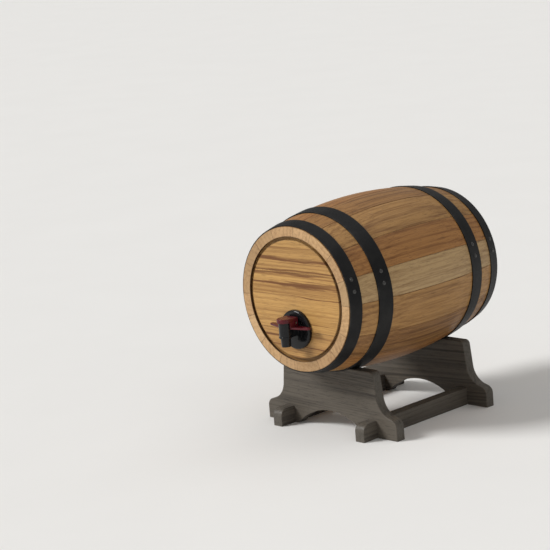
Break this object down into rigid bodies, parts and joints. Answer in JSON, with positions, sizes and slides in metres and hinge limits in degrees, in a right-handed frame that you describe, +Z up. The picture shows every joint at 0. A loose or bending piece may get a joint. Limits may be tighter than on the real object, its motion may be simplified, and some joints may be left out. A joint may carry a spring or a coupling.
{
  "type": "barrel drink dispenser",
  "caption": "Small wooden barrel on a black cradle stand, with iron hoops, a pouch inside behind a pull-off rear lid, and a press tap with a red lever on the front head.",
  "frame": {"origin": "on the floor under the middle of the object's whole length and width", "axes": "+Z up, the tap and front head face -Y, +X to the right as seen from the front"},
  "size_m": [0.22, 0.3072, 0.283],
  "materials": {
    "oak_stave": "sanded oak under a thin clear varnish, grain along the stave",
    "oak_head": "sanded oak under a thin clear varnish, grain across the head",
    "hoop_steel": "rolled steel strip, painted satin black",
    "rivet_steel": "steel rivet painted with its hoop, worn on the crown",
    "beech_dowel": "turned beech, unfinished",
    "screw_steel": "zinc plated steel",
    "spout_plastic": "moulded natural polyethylene",
    "tap_black": "moulded glossy black plastic",
    "lever_red": "moulded dark red plastic, satin gloss",
    "pin_steel": "drawn stainless steel",
    "valve_plastic": "moulded natural acetal",
    "seal_rubber": "moulded black silicone rubber",
    "spring_steel": "bright stainless spring wire",
    "foil_film": "metallised multilayer film, creased",
    "stand_wood": "solid wood stained charcoal black, worn matt"
  },
  "bodies": {
    "stand": {"front_cradle": "stand_wood", "rear_cradle": "stand_wood", "left_rail": "stand_wood", "right_rail": "stand_wood", "stand_screws": "screw_steel"},
    "barrel": {"stave_01": "oak_stave", "stave_02": "oak_stave", "stave_03": "oak_stave", "stave_04": "oak_stave", "stave_05": "oak_stave", "stave_06": "oak_stave", "stave_07": "oak_stave", "stave_08": "oak_stave", "stave_09": "oak_stave", "stave_10": "oak_stave", "stave_11": "oak_stave", "stave_12": "oak_stave", "stave_13": "oak_stave", "stave_14": "oak_stave", "stave_15": "oak_stave", "stave_16": "oak_stave", "head_plank_bottom": "oak_head", "head_plank_middle": "oak_head", "head_plank_top": "oak_head", "head_dowels": "beech_dowel", "hoop_front_head": "hoop_steel", "hoop_front_quarter": "hoop_steel", "hoop_rear_quarter": "hoop_steel", "hoop_rear_head": "hoop_steel", "hoop_rivets": "rivet_steel", "foil_bag": "foil_film", "bag_spout": "spout_plastic", "tap_collar": "tap_black", "tap_body": "tap_black", "spigot_o_ring": "seal_rubber", "lever_pin": "pin_steel", "return_spring": "spring_steel"},
    "lid": {"lid_plank_bottom": "oak_head", "lid_plank_middle": "oak_head", "lid_plank_top": "oak_head", "lid_batten_left": "oak_head", "lid_batten_right": "oak_head", "lid_screws": "screw_steel"},
    "lever": {"tap_lever": "lever_red"},
    "valve": {"valve_stem": "valve_plastic", "valve_seal": "seal_rubber"}
  },
  "joints": [
    {"name": "barrel_lift", "type": "slide", "parent": "stand", "child": "barrel", "axis": [0, 0, 1], "range_m": [0, 0.15]},
    {"name": "lid_pull", "type": "slide", "parent": "barrel", "child": "lid", "axis": [0, 1, 0], "range_m": [0, 0.12]},
    {"name": "lever_press", "type": "hinge", "parent": "barrel", "child": "lever", "pos_m": [0, -0.1336, 0.15], "axis": [1, 0, 0], "range_deg": [0, 9.3], "stiffness_Nm_per_rad": 0.6, "springref_deg": -5.73},
    {"name": "valve_slide", "type": "slide", "parent": "barrel", "child": "valve", "axis": [0, 0, -1], "range_m": [0, 0.0018], "deforming": ["return_spring"]}
  ],
  "couplings": [
    {"joint": "valve_slide", "follows": "lever_press", "m_per_rad": 0.0105}
  ]
}
